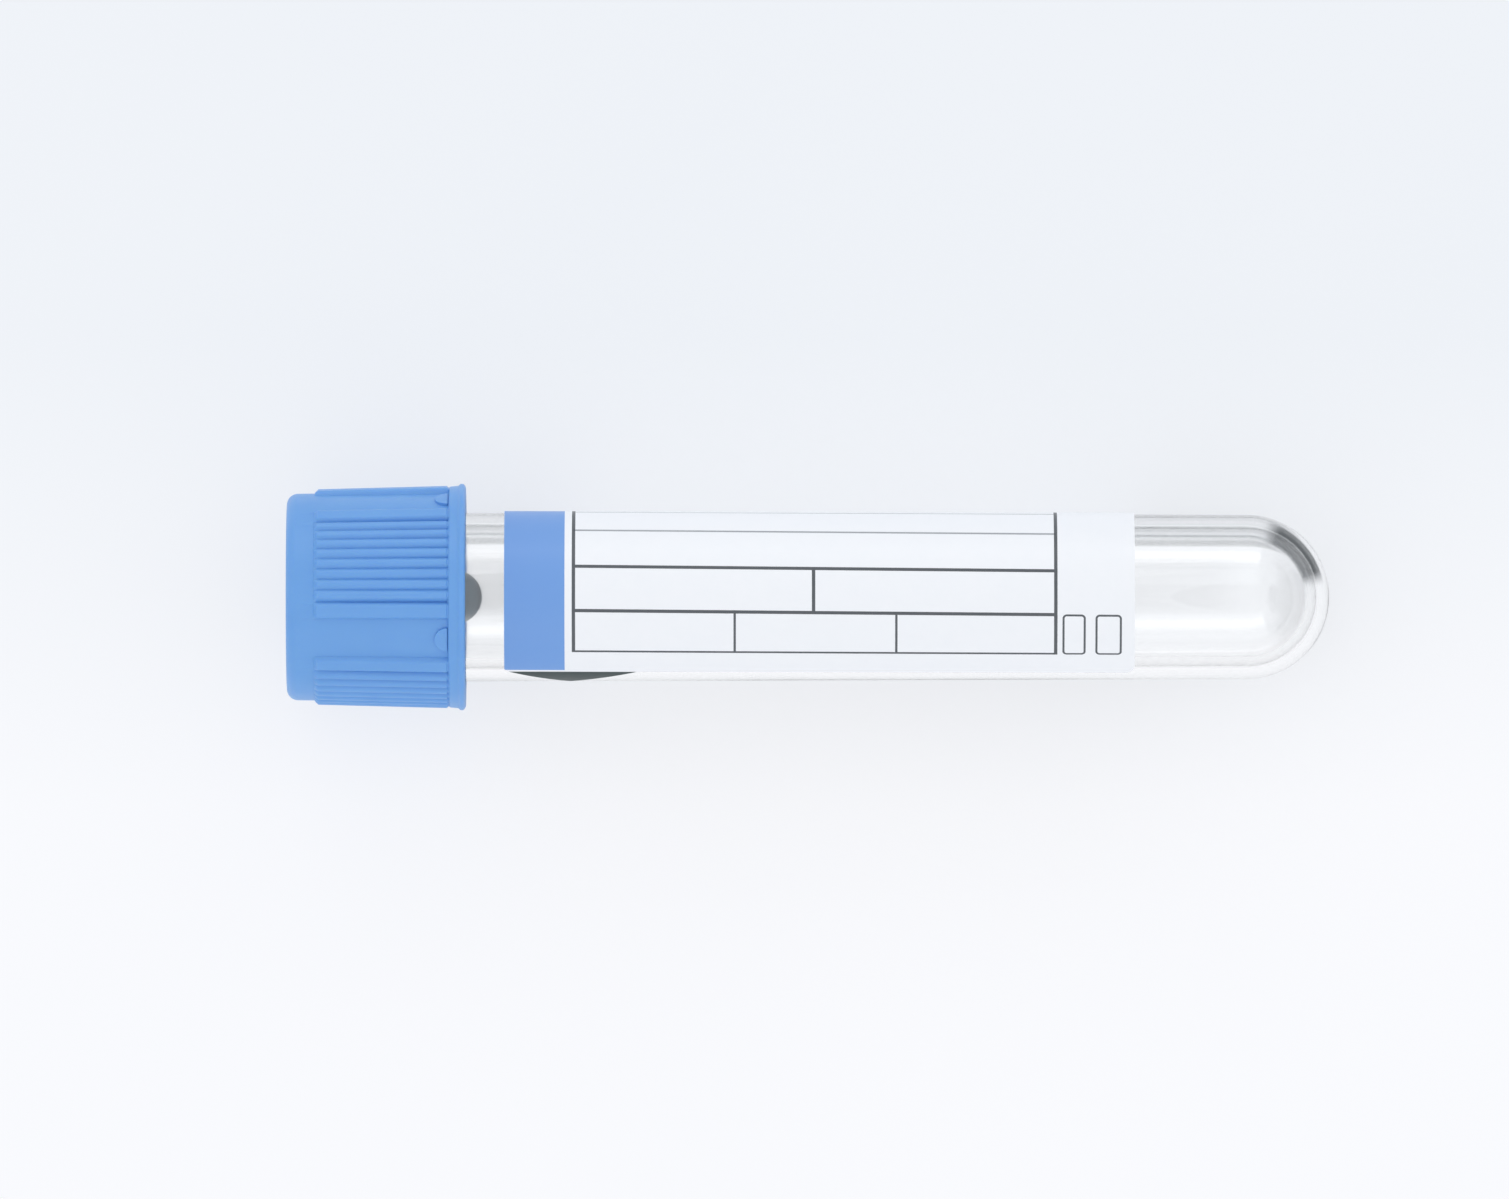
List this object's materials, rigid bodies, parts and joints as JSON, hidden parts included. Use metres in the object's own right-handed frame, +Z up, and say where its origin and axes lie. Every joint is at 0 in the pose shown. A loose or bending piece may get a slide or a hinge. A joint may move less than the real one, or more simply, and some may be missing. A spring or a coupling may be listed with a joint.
{
  "type": "blood collection tube",
  "caption": "Clear round-bottom blood collection tube with an inner liner, a wrap-round label and a ribbed blue screw cap that carries a rubber stopper; it lies on its side.",
  "frame": {"origin": "on the table plane, under the middle of the lying tube's bounding box", "axes": "+X from the cap towards the round end, level; the tube's own axis slopes 2.25 degrees down towards +X, because it lies on the cap's lip and on the round end; +Z up"},
  "size_m": [0.0798, 0.0172, 0.0173],
  "materials": {
    "clear_pet": "clear, polished",
    "clear_pp": "clear, faintly milky",
    "blue_polyethylene": "satin, moulded",
    "dark_ring_plastic": "satin, moulded",
    "grey_rubber": "matt bromobutyl rubber",
    "label_paper": "satin printed film",
    "clear_liquid": "clear liquid"
  },
  "bodies": {
    "tube": {"outer_tube": "clear_pet", "inner_tube": "clear_pp", "label": "label_paper", "citrate_solution": "clear_liquid"},
    "stopper": {"stopper": "grey_rubber"},
    "cap": {"cap": "blue_polyethylene", "cap_ring": "dark_ring_plastic"}
  },
  "joints": [
    {"name": "stopper_lift", "type": "slide", "parent": "tube", "child": "stopper", "axis": [-0.9992, 0, 0.0393], "range_m": [0, 0.012]},
    {"name": "cap_turn", "type": "hinge", "parent": "stopper", "child": "cap", "pos_m": [-0.03958, 0, 0.00918], "axis": [-0.9992, 0, 0.0393], "range_deg": [0, 360]}
  ],
  "couplings": [
    {"joint": "cap_turn", "follows": "stopper_lift", "rad_per_m": 523.6}
  ]
}
